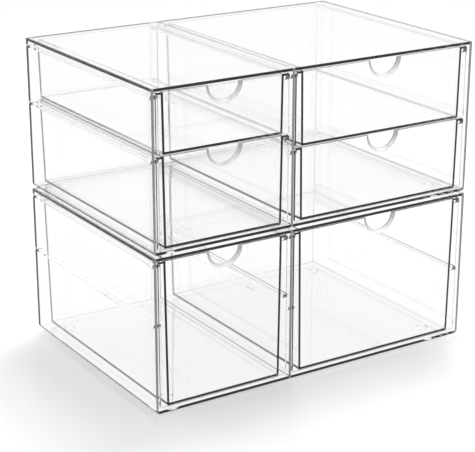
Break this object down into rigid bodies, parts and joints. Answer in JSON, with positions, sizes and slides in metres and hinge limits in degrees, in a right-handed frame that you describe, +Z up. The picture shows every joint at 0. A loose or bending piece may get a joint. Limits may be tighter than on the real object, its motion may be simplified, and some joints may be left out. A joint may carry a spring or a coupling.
{
  "type": "clear desktop drawer organizer",
  "caption": "Clear moulded desktop organizer: two stacked open-front cases with flat-front drawers that hang on side rails and slide out by semicircular finger notches.",
  "frame": {"origin": "on the ground under the middle of the organizer", "axes": "+X to the right seen from the front, -Y towards the front of the drawers, +Z up"},
  "size_m": [0.3, 0.206, 0.2584],
  "materials": {
    "case_plastic": "clear, colourless, polished injection-moulded plastic",
    "drawer_plastic": "clear, colourless, polished injection-moulded plastic"
  },
  "bodies": {
    "lower_case": {"lower_case": "case_plastic"},
    "upper_case": {"upper_case": "case_plastic"},
    "drawer_upper_left": {"drawer_upper_left": "drawer_plastic"},
    "drawer_middle_left": {"drawer_middle_left": "drawer_plastic"},
    "drawer_upper_right": {"drawer_upper_right": "drawer_plastic"},
    "drawer_middle_right": {"drawer_middle_right": "drawer_plastic"},
    "drawer_tall_left": {"drawer_tall_left": "drawer_plastic"},
    "drawer_tall_right": {"drawer_tall_right": "drawer_plastic"}
  },
  "joints": [
    {"name": "upper_case_lift", "type": "slide", "parent": "lower_case", "child": "upper_case", "axis": [0, 0, 1], "range_m": [0, 0.15]},
    {"name": "drawer_upper_left_slide", "type": "slide", "parent": "upper_case", "child": "drawer_upper_left", "axis": [0, -1, 0], "range_m": [0, 0.15]},
    {"name": "drawer_middle_left_slide", "type": "slide", "parent": "upper_case", "child": "drawer_middle_left", "axis": [0, -1, 0], "range_m": [0, 0.15]},
    {"name": "drawer_upper_right_slide", "type": "slide", "parent": "upper_case", "child": "drawer_upper_right", "axis": [0, -1, 0], "range_m": [0, 0.15]},
    {"name": "drawer_middle_right_slide", "type": "slide", "parent": "upper_case", "child": "drawer_middle_right", "axis": [0, -1, 0], "range_m": [0, 0.15]},
    {"name": "drawer_tall_left_slide", "type": "slide", "parent": "lower_case", "child": "drawer_tall_left", "axis": [0, -1, 0], "range_m": [0, 0.15]},
    {"name": "drawer_tall_right_slide", "type": "slide", "parent": "lower_case", "child": "drawer_tall_right", "axis": [0, -1, 0], "range_m": [0, 0.15]}
  ]
}
